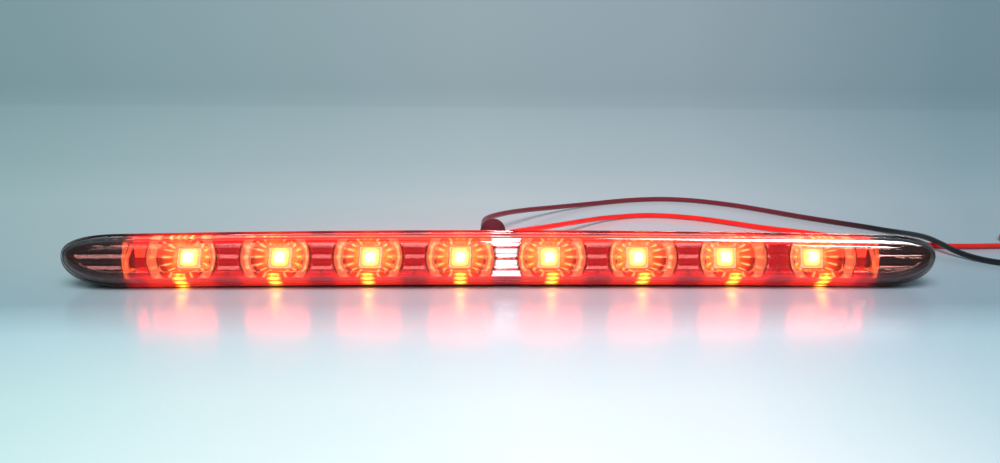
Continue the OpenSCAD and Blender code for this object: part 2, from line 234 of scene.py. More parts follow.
def tag_all(bm):
    for vert in bm.verts:
        vert.tag = True


# %% [markdown]
# ## The outline
# Seen from the front, the bar has two rounded noses and edges that rise gently towards the middle. The
# nose is a superellipse, a curve between an ellipse and a rectangle, and the rise is a parabola. The same
# formula, moved inwards, gives the lens, the housing and the window of the reflector.

# %% Outline of the bar
HALF = 150.0
NOSE = 22.0
NOSE_Z = 0.4
TOP_H = 7.4
FOOT_H = 10.6
TOP_ARCH = 1.4
FOOT_ARCH = 0.8
NOSE_START = HALF - NOSE
TOP_POWER = 2.5
FOOT_POWER = 2.2
TUB_INSET = 1.6
TUB_FOOT_H = 7.3
NOSE_STEPS = 26
ARCH_STEPS = 48


def arch(x):
    return max(0.0, 1 - (x / (NOSE_START + 2)) ** 2)


def edge_z(x, height, rise, nose, power):
    over = min(1.0, max(0.0, (abs(x) - NOSE_START) / nose))
    return height * (1 - over ** power) ** (1 / power) + rise * arch(x)


def outline(top, foot, top_rise, foot_rise, nose):
    quarter = [math.pi / 2 * i / NOSE_STEPS for i in range(NOSE_STEPS + 1)]
    across = [NOSE_START * (1 - 2 * i / ARCH_STEPS) for i in range(1, ARCH_STEPS)]
    right_top = [NOSE_START + nose * math.sin(t) ** (2 / TOP_POWER) for t in quarter]
    right_low = [NOSE_START + nose * math.sin(t) ** (2 / FOOT_POWER) for t in quarter[:-1]][::-1]
    upper = [(x, NOSE_Z + edge_z(x, top, top_rise, nose, TOP_POWER)) for x in right_top]
    lower = [(x, NOSE_Z - edge_z(x, foot, -foot_rise, nose, FOOT_POWER)) for x in right_low]
    right = upper + lower
    low_edge = [(x, NOSE_Z - foot + foot_rise * arch(x)) for x in across]
    left = [(-x, z) for x, z in right[::-1]]
    top_edge = [(-x, NOSE_Z + top + top_rise * arch(x)) for x in across]
    return right + low_edge + left + top_edge


def lens_ring(inset, y):
    points = outline(TOP_H - inset, FOOT_H - inset, TOP_ARCH, FOOT_ARCH, NOSE - inset)
    return [(x, y, z) for x, z in points]


def tub_ring(inset, y):
    points = outline(TOP_H - TUB_INSET - inset, TUB_FOOT_H - inset, TOP_ARCH, 0, NOSE - TUB_INSET - inset)
    return [(x, y, z) for x, z in points]


def window_ring(inset, y):
    points = outline(4.1 - inset, 5.9 - inset, 1.1, 0, 16.6 - inset)
    return [(x, y, z) for x, z in points]


print("points round the outline:", len(lens_ring(0, 0)))

# %% [markdown]
# ## The leads
# Each lead is 2.2 mm over its vinyl. It leaves the boot nearly level, sinks to the table within a hand's
# width and wanders to the right. A curve with a round bevel has exactly that shape. The black lead
# crosses over the red one in a low hump.

# %% Routes of the leads
LEAD_D = 2.2
STRAIGHT = 2
lead_rows = {
    "black": (-5.1, [
        (-5.3, 29.5, 9.2), (-5.6, 38.5, 8.8), (-5.8, 48.5, 8.5), (-5.4, 58, 8.2), (-4.6, 66.5, 7.9),
        (-2.4, 74, 7.6), (1, 81.5, 7.1), (6, 91, 6.3), (12, 101, 5.3), (19, 111, 4.2), (26.5, 120.5, 3.1),
        (34.5, 129.5, 2.2), (43, 137.5, 1.5), (52, 144.5, 1.1), (61, 149.5, 1.1), (70, 153.5, 1.1),
        (79.5, 156, 1.1), (88.5, 156.5, 1.1), (97, 154.5, 1.1), (105, 150.5, 1.1),
        (119.5, 138.5, 1.1), (125.5, 131.5, 1.1), (131.5, 124, 1.1), (137.5, 116, 1.1), (143.5, 108.5, 1.1),
        (156.5, 94, 1.1), (163, 87, 1.1), (168.5, 79.5, 1.2), (172, 71, 1.9),
        (174, 61.5, 2.9), (175.5, 51.5, 3.6), (177, 42, 3.2), (179.5, 32.5, 2), (184, 24, 1.2),
        (190.5, 17, 1.1), (199, 12, 1.4), (209, 10, 2.2), (213, 9.6, 2.2)]),
    "red": (-1.9, [
        (-0.9, 29, 9), (1.8, 36, 8.4), (5.6, 43, 7.6), (10, 50, 6.8), (14.5, 57, 6), (20, 64.5, 5.2),
        (27, 74, 4.3), (34.5, 84, 3.4), (42, 93.5, 2.6), (50, 102.5, 1.8), (58.5, 109, 1.2),
        (67.5, 112.5, 1.1), (77, 112.5, 1.1), (86, 109.5, 1.1), (94, 105, 1.1), (101.5, 99, 1.1),
        (109, 92, 1.1), (116.5, 85, 1.1),
        (124.5, 79, 1.1), (132.5, 73.5, 1.1), (140.5, 67.5, 1.1), (149, 62, 1.1), (158, 57, 1.1),
        (167, 52, 1.1), (176.5, 48, 1.1), (186.5, 46.5, 1.1), (206, 47.5, 1.1),
        (225.5, 47, 1.1), (234.5, 51, 1.1), (238, 60, 1.1), (234.5, 69, 1.1),
        (225.5, 72.5, 1.1), (216.5, 69, 1.1), (212.5, 60, 1.9), (214, 50.5, 3.5), (219.5, 43, 3.1),
        (227.5, 38.5, 2.2), (231.5, 36.5, 2.2)]),
}
OUTLET_Y = 33
OUTLET_Z = 7


def lead_path(colour):
    side, route = lead_rows[colour]
    leave = LAMP @ Vector((side, OUTLET_Y, OUTLET_Z))
    return [leave, leave + STRAIGHT * MM * stud_axis] + [Vector(point) * MM for point in route]


def lamplit(material):
    # Black vinyl and rubber look wine red in the lamp's light and blue-black beyond it. The red is painted
    # here, as a second colour along X.
    tree = material.node_tree
    shader = tree.nodes["Principled BSDF"]
    black = shader.inputs["Base Color"].links[0].from_socket
    coords = add_node(tree, "ShaderNodeTexCoord")
    axes = add_node(tree, "ShaderNodeSeparateXYZ", {"Vector": coords.outputs["Object"]})
    lit = add_node(tree, "ShaderNodeMapRange", {"Value": axes.outputs["X"], "From Min": 0.165,
                   "From Max": 0.125})
    mix = add_node(tree, "ShaderNodeMix", {"Factor": lit.outputs["Result"], 6: black,
                   7: linear("6A202C")}, data_type="RGBA")
    tree.links.new(mix.outputs[2], shader.inputs["Base Color"])
    return material


vinyl = {
    "black": lamplit(grained("black_vinyl_semigloss", "141416", "1A191C", (0.28, 0.42), 0.6, 0.006)),
    "red": grained("red_vinyl_semigloss", "D8241C", "C41A16", (0.28, 0.42), 0.6, 0.006),
}


def make_lead(colour):
    path = lead_path(colour)
    curve = bpy.data.curves.new(f"lead_{colour}", "CURVE")
    curve.dimensions = "3D"
    curve.bevel_depth = LEAD_D / 2 * MM
    curve.bevel_resolution = 6
    curve.resolution_u = 6
    curve.use_fill_caps = True
    spline = curve.splines.new("BEZIER")
    spline.bezier_points.add(len(path) - 1)
    for knot, point in zip(spline.bezier_points, path):
        knot.co = point
        knot.handle_left_type = "AUTO"
        knot.handle_right_type = "AUTO"
    curve.materials.append(vinyl[colour])
    lead = bpy.data.objects.new(f"vinyl_lead_{colour}", curve)
    bpy.context.scene.collection.objects.link(lead)
    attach(lead, "root")
    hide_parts(f"lead_{colour}")
    length = sum((b - a).length for a, b in zip(path, path[1:]))
    print(f"{colour} lead: {length:.3f} m")
    return lead, path


# %% [markdown]
# Each lead ends in a crimped bullet terminal: a vinyl sleeve over the crimp, and a plated bullet with a
# waist and a round nose, which a socket grips. Both are turned on the lathe, in line with the lead's last
# stretch.

# %% Terminals and cords
tin_brass = grained("tin_flashed_brass", "C9B483", "B59A62", (0.18, 0.32), 0.8, 0.003, metallic=1.0)
SLEEVE = [(0, 0), (1.35, 0), (1.9, 0.25), (2.2, 0.8), (2.2, 3.2), (2.02, 3.6), (2.02, 5.2), (2.2, 5.6),
          (2.2, 8.4), (2.05, 8.9), (1.6, 9), (0, 9)]
BULLET = [(0, 8.9), (1.5, 8.9), (1.5, 10.6), (1.95, 11), (1.95, 14.2), (1.55, 14.7), (1.55, 15.5),
          (1.95, 16), (1.95, 17.9), (1.75, 19), (1.2, 19.7), (0.5, 19.97), (0, 20)]


def along(path):
    direction = (path[-1] - path[-2]).normalized()
    turn_to = Vector((0, 1, 0)).rotation_difference(direction).to_matrix().to_4x4()
    return Matrix.Translation(path[-1]) @ turn_to @ Matrix.Scale(MM, 4)


for colour in ("black", "red"):
    lead, path = make_lead(colour)
    for what, profile, material, slot in (
            ("sleeve", SLEEVE, vinyl[colour], f"sleeve_{colour}_vinyl"),
            ("crimp", BULLET, tin_brass, "crimp_brass")):
        bm = bmesh.new()
        lathe(bm, profile, steps=32)
        finish_piece(bm, f"bullet_{what}_{colour}", material, (f"{what}_{colour}",), slot,
                                 along(path))
    tuple(path[0])

# %% [markdown]
# ## Places in the lamp, for the shaders
# The LEDs' light is strongest near each LED, so three finishes need to know how far a point is from the
# nearest LED. A node group works that out once: the point in the lamp's own axes, in millimetres, then
# its distance across from the nearest LED, its distance from that LED's axis, and its angle round it.

# %% Group for places in the lamp
PITCH = 31.2
LED_COUNT = 8
LED_X = [(i - (LED_COUNT - 1) / 2) * PITCH for i in range(LED_COUNT)]
places = bpy.data.node_groups.new("places_in_the_lamp", "ShaderNodeTree")
for name in ("X", "Y", "Z", "Across", "Radius", "Angle"):
    places.interface.new_socket(name=name, in_out="OUTPUT", socket_type="NodeSocketFloat")
coords = add_node(places, "ShaderNodeTexCoord")
own = add_node(places, "ShaderNodeMapping", {"Vector": coords.outputs["Object"], "Location": lamp_origin,
               "Rotation": (-lean, 0, 0), "Scale": (MM, MM, MM)}, vector_type="TEXTURE")
axes = add_node(places, "ShaderNodeSeparateXYZ", {"Vector": own.outputs["Vector"]})
edge = LED_COUNT / 2 * PITCH - 0.01
kept = add_node(places, "ShaderNodeClamp", {"Value": axes.outputs["X"], "Min": -edge, "Max": edge})
cell = add_node(places, "ShaderNodeMath", {0: kept.outputs[0], 1: PITCH}, operation="FLOORED_MODULO")
past = add_node(places, "ShaderNodeMath", {0: axes.outputs["X"], 1: kept.outputs[0]}, operation="SUBTRACT")
middle = add_node(places, "ShaderNodeMath", {0: cell.outputs[0], 1: PITCH / 2}, operation="SUBTRACT")
across = add_node(places, "ShaderNodeMath", {0: middle.outputs[0], 1: past.outputs[0]}, operation="ADD")
flat = add_node(places, "ShaderNodeCombineXYZ", {"X": across.outputs[0], "Y": axes.outputs["Z"]})
radius = add_node(places, "ShaderNodeVectorMath", {0: flat.outputs[0]}, operation="LENGTH")
angle = add_node(places, "ShaderNodeMath", {0: axes.outputs["Z"], 1: across.outputs[0]},
                 operation="ARCTAN2")
add_node(places, "NodeGroupOutput", {"X": axes.outputs["X"], "Y": axes.outputs["Y"], "Z": axes.outputs["Z"],
         "Across": across.outputs[0], "Radius": radius.outputs["Value"], "Angle": angle.outputs[0]})
print("LEDs at", [round(x, 1) for x in LED_X])

# %% [markdown]
# ## The lens
# The lens is one moulding of smoked acrylic: a thin flange, a step, a rounded bevel and a flat front. A
# loft through rings on the outside and back through rings on the inside makes a closed wall about 1.6 mm
# thick, which glass-like shading needs, because light has to enter and leave it.

# %% Loft the lens
OUTSIDE = [(0, 2), (0, 0.3), (0.1, 0.1), (0.3, 0), (0.75, 0), (0.85, -0.12), (0.95, -1), (1.15, -2),
           (1.5, -3.2), (2, -4.25), (2.5, -5), (3.1, -5.6), (3.8, -6.1), (4.5, -6.38), (5.3, -6.5)]
GLOW_REACH = 24.0
STRIPES_PER_MM = 4.2 / (2 * math.pi)
INSIDE = [(5.9, -4.9), (5.2, -4.82), (4.6, -4.6), (4.05, -4.3), (3.6, -3.9), (3.2, -3.3), (2.9, -2.6),
          (2.7, -1.2), (2.5, 0), (2.3, 2)]


def acrylic():
    # Moulded acrylic bends light by 1.49, and the smoke in it takes three quarters of the light. The red
    # light from the LEDs that runs along inside the rounded edge and leaves it there is painted, as
    # emission, most of it beside an LED. It fades out over the flange, and the flat front gets none.
    material, tree, shader = new_material("smoked_acrylic")
    place = add_node(tree, "ShaderNodeGroup", node_tree=places).outputs
    coords = add_node(tree, "ShaderNodeTexCoord")
    flow = add_node(tree, "ShaderNodeTexNoise", {"Vector": coords.outputs["Object"], "Scale": 90.0})
    wave = add_node(tree, "ShaderNodeBump", {"Height": flow.outputs["Fac"], "Distance": 0.02 * MM})
    near = add_node(tree, "ShaderNodeMath", {0: place["Across"]}, operation="ABSOLUTE").outputs[0]
    spread = add_node(tree, "ShaderNodeMath", {0: near, 1: GLOW_REACH}, operation="DIVIDE").outputs[0]
    glow = add_node(tree, "ShaderNodeValToRGB", {"Fac": spread})
    set_ramp(glow, [(0.0, (0.9, 0.06, 0.008, 1)), (0.12, (0.85, 0.02, 0.006, 1)),
                    (0.42, (0.75, 0.012, 0.006, 1)), (0.52, (0.36, 0.006, 0.010, 1)),
                    (0.65, (0.32, 0.005, 0.010, 1)), (0.80, (0.02, 0.002, 0.002, 1)),
                    (1.0, (0.004, 0.001, 0.001, 1))])
    front = add_node(tree, "ShaderNodeMapRange", {"Value": place["Y"], "From Min": -6.45, "From Max": -5.9})
    flange = add_node(tree, "ShaderNodeMapRange", {"Value": place["Y"], "From Min": 2.6, "From Max": -0.4})
    seen = add_node(tree, "ShaderNodeNewGeometry").outputs["Backfacing"]
    outer = add_node(tree, "ShaderNodeMath", {0: 1.0, 1: seen}, operation="SUBTRACT").outputs[0]
    bevel = add_node(tree, "ShaderNodeMath", {0: front.outputs[0], 1: flange.outputs[0]},
                     operation="MULTIPLY").outputs[0]
    amount = add_node(tree, "ShaderNodeMath", {0: bevel, 1: outer}, operation="MULTIPLY").outputs[0]
    # A painted reflection of each LED: bright orange stripes low on the bevel, in front of the LED.
    foot = add_node(tree, "ShaderNodeMapRange", {"Value": place["Z"], "From Min": -4.6, "From Max": -5.4})
    beam = add_node(tree, "ShaderNodeMapRange", {"Value": near, "From Min": 2.7, "From Max": 0.4})
    lines = add_node(tree, "ShaderNodeMath", {0: place["Z"], 1: 2 * math.pi * STRIPES_PER_MM},
                     operation="MULTIPLY").outputs[0]
    wavy = add_node(tree, "ShaderNodeMath", {0: lines}, operation="SINE").outputs[0]
    stripes = add_node(tree, "ShaderNodeMapRange", {"Value": wavy, "From Min": -0.4, "From Max": 0.9})
    painted_led_glint = add_node(tree, "ShaderNodeMath", {0: foot.outputs[0], 1: beam.outputs[0]},
                    operation="MULTIPLY").outputs[0]
    painted_led_glints = add_node(tree, "ShaderNodeMath", {0: painted_led_glint, 1: stripes.outputs[0]},
                     operation="MULTIPLY").outputs[0]
    boost = add_node(tree, "ShaderNodeMath", {0: painted_led_glints, 1: 7.0, 2: 1.0},
                     operation="MULTIPLY_ADD").outputs[0]
    strength = add_node(tree, "ShaderNodeMath", {0: amount, 1: boost}, operation="MULTIPLY").outputs[0]
    colour = add_node(tree, "ShaderNodeMix", {"Factor": painted_led_glint, 6: glow.outputs["Color"],
                      7: (1.0, 0.42, 0.02, 1)}, data_type="RGBA")
    tree.links.new(colour.outputs[2], shader.inputs["Emission Color"])
    tree.links.new(strength, shader.inputs["Emission Strength"])
    shader.inputs["Base Color"].default_value = linear("8A6F6D")
    shader.inputs["IOR"].default_value = 1.49
    shader.inputs["Transmission Weight"].default_value = 1.0
    shader.inputs["Roughness"].default_value = 0.01
    tree.links.new(wave.outputs["Normal"], shader.inputs["Normal"])
    return material


bm = bmesh.new()
loft(bm, [lens_ring(*stop) for stop in OUTSIDE], caps=("last",))
loft(bm, [lens_ring(*stop) for stop in INSIDE], caps=("first",))
loft(bm, [lens_ring(*OUTSIDE[0]), lens_ring(*INSIDE[-1])])
lens = finish_piece(bm, "smoked_lens", acrylic(), ("lens",), "smoked_lens", sharp=40)

# %% [markdown]
# ## The reflector
# The reflector is moulded in plastic and metallised in a vacuum, which gives a mirror. Each LED sits at
# the bottom of a cup: petals fan out from its square window, and a ring of facets stands round them. The
# petals are lobes on a turned cup, so the cup is spun first and its vertices are then moved in and out
# with the angle.

# %% Make a cup
CUP_R = 11.75
STEP_R = 8.9
FRONT_Y = -2.2
FLOOR_Y = 9.8
HALF_WINDOW = 4.25
WINDOW_TOP = 5.7
WINDOW_LOW = -5.5
PETALS = 18


def square_radius(angle):
    side = HALF_WINDOW / max(abs(math.cos(angle)), abs(math.sin(angle)))
    return min(side, HALF_WINDOW * 1.28)


def shape_cup(verts):
    for vert in verts:
        angle = math.atan2(vert.co.z, vert.co.x)
        radius = math.hypot(vert.co.x, vert.co.z)
        lobe = abs(math.cos(PETALS / 2 * angle)) - 0.6
        if radius < HALF_WINDOW + 0.1:
            new = square_radius(angle)
        elif vert.co.y > 2.5 and radius < STEP_R + 0.2:
            new = radius + 0.55 * lobe
        else:
            new = radius + 0.25 * lobe if radius < CUP_R - 0.1 else radius
        vert.co.x *= new / radius
        vert.co.z *= new / radius


CUP = [(HALF_WINDOW, 10.6), (HALF_WINDOW, FLOOR_Y), (5.9, 8.2), (7.6, 5.6), (STEP_R, 2.9), (9.5, 2.9),
       (10.7, 0.4), (CUP_R, FRONT_Y)]


def make_cup(bm, x):
    verts = lathe(bm, CUP, steps=108)
    shape_cup(verts)
    bmesh.ops.translate(bm, verts=list(verts), vec=(x, 0, 0))


def trim(bm, z, up):
    geometry = bm.verts[:] + bm.edges[:] + bm.faces[:]
    bmesh.ops.bisect_plane(bm, geom=geometry, plane_co=(0, 0, z), plane_no=(0, 0, up), clear_outer=True)


bm = bmesh.new()
for x in LED_X:
    make_cup(bm, x)
trim(bm, WINDOW_TOP, 1)
trim(bm, WINDOW_LOW, -1)
tag_all(bm)
print("cups:", len(bm.faces), "faces")

# %% [markdown]
# Between two cups the front is a flat panel with level flutes, shaped like an hourglass because both its
# sides are arcs. A grid is made for each panel and its vertices are moved: across, to lie between the
# arcs, and in depth, to follow the flutes. The end panels reach into the noses and start at the arc of a
# wider recess.

# %% Make the fluted panels
FLUTE = 3.8
FLUTE_RIDGE_Z = -0.4
FLUTE_DEPTH = 0.6
RECESS_R = 19.5
RECESS_Z = -4.0
TIP_X = 146.0


def flute_y(z):
    across = ((z - FLUTE_RIDGE_Z) / FLUTE) % 1.0
    return FRONT_Y + 0.1 + FLUTE_DEPTH * (1 - (2 * across - 1) ** 2)


def grid_panel(bm, columns, rows, place_vert):
    made = bmesh.ops.create_grid(bm, x_segments=columns, y_segments=rows, size=0.5)["verts"]
    for vert in made:
        vert.co = place_vert(vert.co.x + 0.5, vert.co.y + 0.5)
        vert.tag = True


def between_cups(x):
    def place_vert(s, t):
        z = -6.0 + 12.0 * t
        arc = math.sqrt((CUP_R + 0.05) ** 2 - z * z)
        return (x + (s - 0.5) * (PITCH - 2 * arc), flute_y(z), z)
    return place_vert


def in_nose(side):
    def place_vert(s, t):
        z = -6.2 + 11.0 * t
        start = LED_X[-1] + math.sqrt(RECESS_R ** 2 - (z - RECESS_Z) ** 2)
        x = start + (TIP_X - start) * s
        top = NOSE_Z + edge_z(x, 4.5, 1.1, TIP_X + 0.2 - NOSE_START, TOP_POWER)
        low = NOSE_Z - edge_z(x, 6.5, 0, TIP_X + 0.2 - NOSE_START, FOOT_POWER)
        z = low + (top - low) * t
        return (side * x, flute_y(z), z)
    return place_vert


for x in LED_X[:-1]:
    grid_panel(bm, 8, 60, between_cups(x + PITCH / 2))
for side in (-1, 1):
    grid_panel(bm, 24, 56, in_nose(side))
print("with panels:", len(bm.faces), "faces")

# %% [markdown]
# Outboard of each end cup lies the recess: a floor that rises to the panel's edge. The rest is the rim
# that holds the reflector inside the lens, and the level walls above and below the cups. A Solidify
# modifier gives the sheet the thickness of the moulding.

# %% Recesses, rim and walls
RECESS_Y = 0.9
MIRROR_REACH = 26.0


def recess_floor(side):
    def place_vert(s, t):
        return (side * (LED_X[-1] + 8 + 12 * s), RECESS_Y, WINDOW_LOW + (WINDOW_TOP - WINDOW_LOW) * t)
    return place_vert


def recess_wall(side):
    def place_vert(s, t):
        z = -6.2 + 12.4 * t
        start = LED_X[-1] + math.sqrt(RECESS_R ** 2 - (z - RECESS_Z) ** 2)
        return (side * (start - 1.6 * (1 - s)), RECESS_Y + (flute_y(z) - RECESS_Y) * s, z)
    return place_vert


for side in (-1, 1):
    grid_panel(bm, 4, 4, recess_floor(side))
    grid_panel(bm, 4, 56, recess_wall(side))
loft(bm, [lens_ring(3.1, 0.5), lens_ring(3.1, -1.9), lens_ring(3.3, -2.25), window_ring(0, -2.25),
          window_ring(0.3, -1.9)])
for z in (WINDOW_TOP, WINDOW_LOW):
    grid_panel(bm, 2, 2, lambda s, t, z=z: ((s - 0.5) * 250, FRONT_Y + 12 * t, z))


def chrome():
    # A vacuum-metallised mirror. The light that the LEDs flood it with is painted, as emission: orange
    # round each LED, with a painted yellow highlight along each petal, dark red at the step, salmon in the
    # outer ring, almost none on the cup's rim, deep red on the panels between, orange on the wall of each
    # end recess, and fading to none beyond.
    material, tree, shader = new_material("vacuum_metallised_chrome")
    place = add_node(tree, "ShaderNodeGroup", node_tree=places).outputs
    spread = add_node(tree, "ShaderNodeMath", {0: place["Radius"], 1: MIRROR_REACH}, operation="DIVIDE")
    glow = add_node(tree, "ShaderNodeValToRGB", {"Fac": spread.outputs[0]})
    stops = [
        (4.3, (1.0, 0.34, 0.08)), (5.4, (0.95, 0.13, 0.02)), (7.0, (0.90, 0.05, 0.006)),
        (8.1, (0.42, 0.012, 0.004)), (8.75, (0.36, 0.008, 0.004)), (8.95, (0.95, 0.26, 0.12)),
        (11.4, (0.95, 0.20, 0.09)), (11.65, (0.04, 0.001, 0.001)), (12.0, (0.04, 0.001, 0.001)),
        (12.25, (0.46, 0.001, 0.003)), (15.6, (0.42, 0.001, 0.003)), (16.3, (0.18, 0.003, 0.002)),
        (17.9, (0.10, 0.003, 0.002)), (18.8, (0.75, 0.14, 0.03)), (19.6, (0.75, 0.14, 0.03)),
        (19.9, (0.02, 0.001, 0.001)),
        (MIRROR_REACH, (0.004, 0.0003, 0.0003))]
    set_ramp(glow, [(radius / MIRROR_REACH, (*colour, 1)) for radius, colour in stops])
    # The painted highlight: a yellow streak along the crest of each petal, fainter in the ring of facets.
    turned = add_node(tree, "ShaderNodeMath", {0: place["Angle"], 1: PETALS / 2}, operation="MULTIPLY")
    wave = add_node(tree, "ShaderNodeMath", {0: turned.outputs[0]}, operation="COSINE")
    lobe = add_node(tree, "ShaderNodeMath", {0: wave.outputs[0]}, operation="ABSOLUTE")
    ridge = add_node(tree, "ShaderNodeMath", {0: lobe.outputs[0], 1: 8.0}, operation="POWER")
    bands = add_node(tree, "ShaderNodeValToRGB", {"Fac": spread.outputs[0]})
    set_ramp(bands, [(0.21, (0, 0, 0, 1)), (0.24, (1, 1, 1, 1)), (0.285, (1, 1, 1, 1)),
                     (0.31, (0, 0, 0, 1)), (0.355, (0, 0, 0, 1)), (0.375, (0.5, 0.5, 0.5, 1)),
                     (0.415, (0.5, 0.5, 0.5, 1)),
                     (0.435, (0, 0, 0, 1))])
    painted_petal_highlight = add_node(tree, "ShaderNodeMath", {0: ridge.outputs[0], 1: bands.outputs["Color"]},
                      operation="MULTIPLY")
    lit = add_node(tree, "ShaderNodeMix", {"Factor": painted_petal_highlight.outputs[0], 6: glow.outputs["Color"],
                   7: (1.0, 0.80, 0.25, 1)}, data_type="RGBA")
    # Room light reaches the middle panel's flutes and shows there as white, but for a line at each ridge.
    # It is painted, as emission, on the panel alone.
    aside = add_node(tree, "ShaderNodeMath", {0: place["X"]}, operation="ABSOLUTE").outputs[0]
    panel = add_node(tree, "ShaderNodeMath", {0: aside, 1: 9.0}, operation="LESS_THAN").outputs[0]
    clear = add_node(tree, "ShaderNodeMath", {0: place["Radius"], 1: 12.2},
                     operation="GREATER_THAN").outputs[0]
    level = add_node(tree, "ShaderNodeMath", {0: place["Z"], 1: FLUTE_RIDGE_Z},
                     operation="SUBTRACT").outputs[0]
    step = add_node(tree, "ShaderNodeMath", {0: level, 1: FLUTE}, operation="FLOORED_MODULO").outputs[0]
    off = add_node(tree, "ShaderNodeMath", {0: step, 1: FLUTE / 2, 2: 1.35}, operation="COMPARE").outputs[0]
    low = add_node(tree, "ShaderNodeMath", {0: step, 1: 1.55, 2: 0.14}, operation="COMPARE").outputs[0]
    band = add_node(tree, "ShaderNodeMath", {0: off, 1: low},
                    operation="SUBTRACT", use_clamp=True).outputs[0]
    here = add_node(tree, "ShaderNodeMath", {0: panel, 1: clear}, operation="MULTIPLY").outputs[0]
    flash = add_node(tree, "ShaderNodeMath", {0: here, 1: band}, operation="MULTIPLY").outputs[0]
    seen = add_node(tree, "ShaderNodeMix", {"Factor": flash, 6: lit.outputs[2], 7: (1.3, 2.0, 2.2, 1)},
                    data_type="RGBA")
    tree.links.new(seen.outputs[2], shader.inputs["Emission Color"])
    shader.inputs["Emission Strength"].default_value = 4.0
    shader.inputs["Metallic"].default_value = 1.0
    # The petals and their ring have a satin grain, which breaks the mirror up.
    satin = add_node(tree, "ShaderNodeMapRange", {"Value": place["Radius"], "From Min": 11.5,
                     "From Max": 11.9})
    body = add_node(tree, "ShaderNodeMix", {"Factor": satin.outputs[0], 6: linear("6E5A5A"),
                    7: linear("E9E6E6")}, data_type="RGBA")
    tree.links.new(body.outputs[2], shader.inputs["Base Color"])
    coords = add_node(tree, "ShaderNodeTexCoord")
    haze = add_node(tree, "ShaderNodeTexNoise", {"Vector": coords.outputs["Object"], "Scale": 300.0})
    gloss = add_node(tree, "ShaderNodeMapRange", {"Value": haze.outputs["Fac"], "To Min": 0.04,
                     "To Max": 0.12})
    tree.links.new(gloss.outputs["Result"], shader.inputs["Roughness"])
    return material


reflector = finish_piece(bm, "mirrored_reflector", chrome(), ("reflector",), "reflector_chrome", sharp=28)
wall = reflector.modifiers.new("moulding", "SOLIDIFY")
wall.thickness = 0.5 * MM
wall.offset = 0.0

# %% [markdown]
# ## The LEDs
# Each LED is a square block of clear epoxy with a low dome and four legs. Lit, its chip is too bright to
# look at: white at the middle, then yellow, then a warm pink at the edge of the block. A ramp over the
# distance from the LED's axis gives that, as emission. The distance is a rounded square's, so the bright
# core is square too.

# %% Make the LEDs
def lit_epoxy():
    material, tree, shader = new_material("lit_clear_epoxy")
    place = add_node(tree, "ShaderNodeGroup", node_tree=places).outputs
    u4 = add_node(tree, "ShaderNodeMath", {0: place["Across"], 1: 4.0}, operation="POWER")
    z4 = add_node(tree, "ShaderNodeMath", {0: place["Z"], 1: 4.0}, operation="POWER")
    both = add_node(tree, "ShaderNodeMath", {0: u4.outputs[0], 1: z4.outputs[0]}, operation="ADD")
    away = add_node(tree, "ShaderNodeMath", {0: both.outputs[0], 1: 0.25}, operation="POWER")
    spread = add_node(tree, "ShaderNodeMath", {0: away.outputs[0], 1: 5.0}, operation="DIVIDE")
    glow = add_node(tree, "ShaderNodeValToRGB", {"Fac": spread.outputs[0]})
    set_ramp(glow, [(0.0, (1.0, 0.95, 0.80, 1)), (0.20, (1.0, 0.92, 0.50, 1)), (0.46, (0.8, 0.60, 0.10, 1)),
                    (0.64, (0.34, 0.16, 0.03, 1)), (0.68, (0.26, 0.17, 0.11, 1)),
                    (1.0, (0.24, 0.15, 0.10, 1))])
    tree.links.new(glow.outputs["Color"], shader.inputs["Emission Color"])
    shader.inputs["Emission Strength"].default_value = 16.0
    shader.inputs["Base Color"].default_value = linear("F0B9A8")
    shader.inputs["Roughness"].default_value = 0.12
    return material


epoxy = lit_epoxy()
LED_FRONT_Y = 9.5
LED_SIDE = 7.6
LED_T = 3.0
LEG_X = 2.54
LEG_R = 0.25
LEG_LENGTH = 2.8
LEG_MIDDLE_Y = 13.7


def make_led(number, x):
    bm = bmesh.new()
    size = Matrix.Diagonal((LED_SIDE, LED_T, LED_SIDE, 1))
    centre = Matrix.Translation((x, LED_FRONT_Y + LED_T / 2, 0))
    bmesh.ops.create_cube(bm, size=1.0, matrix=centre @ size)
    front = [f for f in bm.faces if f.normal.y < -0.9]
    bmesh.ops.inset_region(bm, faces=front, thickness=0.5, depth=-0.25)
    upright = [e for e in bm.edges if abs((e.verts[0].co - e.verts[1].co).y) > LED_T * 0.9]
    bmesh.ops.bevel(bm, geom=upright, offset=0.8, segments=4, profile=0.5, affect="EDGES", material=-1)
    tag_all(bm)
    dome = [(2.6, LED_FRONT_Y + 0.3), (2.5, LED_FRONT_Y - 0.2), (2.2, LED_FRONT_Y - 1.2),
            (1.6, LED_FRONT_Y - 1.95), (0.8, LED_FRONT_Y - 2.38), (0, LED_FRONT_Y - 2.5)]
    lathe(bm, dome, Matrix.Translation((x, 0, 0)), steps=32)
    for dx in (-LEG_X, LEG_X):
        for dz in (-LEG_X, LEG_X):
            leg = Matrix.Translation((x + dx, LEG_MIDDLE_Y, dz)) @ Matrix.Rotation(math.pi / 2, 4, "X")
            bmesh.ops.create_cone(bm, cap_ends=True, segments=12, radius1=LEG_R, radius2=LEG_R,
                                  depth=LEG_LENGTH, matrix=leg)
    return finish_piece(bm, f"square_led_{number}", epoxy, (f"led_{number}",), "led_epoxy")


for number, x in enumerate(LED_X, 1):
    make_led(number, x)

# %% [markdown]
# ## The housing
# The housing is a black moulding with a fine grain. Its flange carries the lens, its walls follow the same
# outline, and its back has a bead round its edge and a boss for each stud.

